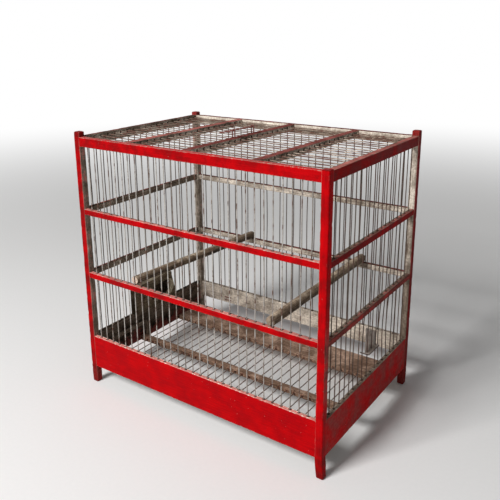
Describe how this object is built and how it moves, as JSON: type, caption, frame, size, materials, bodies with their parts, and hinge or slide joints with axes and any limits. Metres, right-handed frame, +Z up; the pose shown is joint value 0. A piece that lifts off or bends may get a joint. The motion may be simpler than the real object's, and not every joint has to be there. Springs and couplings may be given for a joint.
{
  "type": "bird cage",
  "caption": "Rectangular wooden bird cage with wire bars, round perches, a feeder with a lidded seed box, a sliding tin gate and a wire bail on the roof.",
  "frame": {"origin": "middle of the footprint, at the level of the feet", "axes": "+X along the front to the right, +Y from the front to the back, +Z up"},
  "size_m": [0.478, 0.3, 0.4442],
  "materials": {
    "red_wood": "worn red paint over grey wood",
    "bare_wood": "bare weathered wood",
    "dark_wood": "dark stained wood",
    "perch_wood": "bare round stick",
    "wire_steel": "dull tinned wire",
    "rusty_wire": "rusty wire",
    "tin_plate": "dull tin"
  },
  "bodies": {
    "cage": {"back_lower_rail": "red_wood", "back_slot_rail": "red_wood", "back_top_rail": "red_wood", "back_upper_rail": "red_wood", "back_wires": "wire_steel", "bail_eyes": "rusty_wire", "feeder_bottom": "dark_wood", "feeder_far_cheek": "dark_wood", "feeder_near_cheek": "dark_wood", "feeder_outer_board": "dark_wood", "feeder_panel": "dark_wood", "floor_plank": "bare_wood", "floor_rail": "bare_wood", "floor_wires": "wire_steel", "front_base_board": "red_wood", "front_lower_rail": "red_wood", "front_top_rail": "red_wood", "front_upper_rail": "red_wood", "front_wires": "wire_steel", "left_base_board": "red_wood", "left_floor_cleat": "bare_wood", "left_lower_rail": "red_wood", "left_top_rail": "red_wood", "left_tray_guide": "bare_wood", "left_upper_rail": "red_wood", "left_wires": "wire_steel", "post_back_left": "red_wood", "post_back_right": "red_wood", "post_front_left": "red_wood", "post_front_right": "red_wood", "right_base_board": "red_wood", "right_floor_cleat": "bare_wood", "right_lower_rail": "red_wood", "right_top_rail": "red_wood", "right_tray_guide": "bare_wood", "right_upper_rail": "red_wood", "right_wires": "wire_steel", "roof_bar_center": "bare_wood", "roof_bar_left": "bare_wood", "roof_bar_right": "bare_wood", "roof_wires": "wire_steel"},
    "left_perch": {"perch_left": "perch_wood"},
    "right_perch": {"perch_right": "perch_wood"},
    "seed_lid": {"feeder_lid": "dark_wood", "feeder_lid_pins": "rusty_wire"},
    "gate": {"gate_plate": "tin_plate"},
    "bail": {"hanging_bail": "rusty_wire"}
  },
  "joints": [
    {"name": "bail_swing", "type": "hinge", "parent": "cage", "child": "bail", "pos_m": [0.00615, 0, 0.441], "axis": [0, 1, 0], "range_deg": [0, 207]},
    {"name": "lid_hinge", "type": "hinge", "parent": "cage", "child": "seed_lid", "pos_m": [-0.217, 0.02275, 0.12954], "axis": [0, 1, 0], "range_deg": [0, 120]},
    {"name": "gate_slide", "type": "slide", "parent": "cage", "child": "gate", "axis": [0, 0, 1], "range_m": [-0.036, 0.024]},
    {"name": "left_perch_lift", "type": "slide", "parent": "cage", "child": "left_perch", "axis": [0, 0, 1], "range_m": [0, 0.08]},
    {"name": "right_perch_lift", "type": "slide", "parent": "cage", "child": "right_perch", "axis": [0, 0, 1], "range_m": [0, 0.08]}
  ]
}
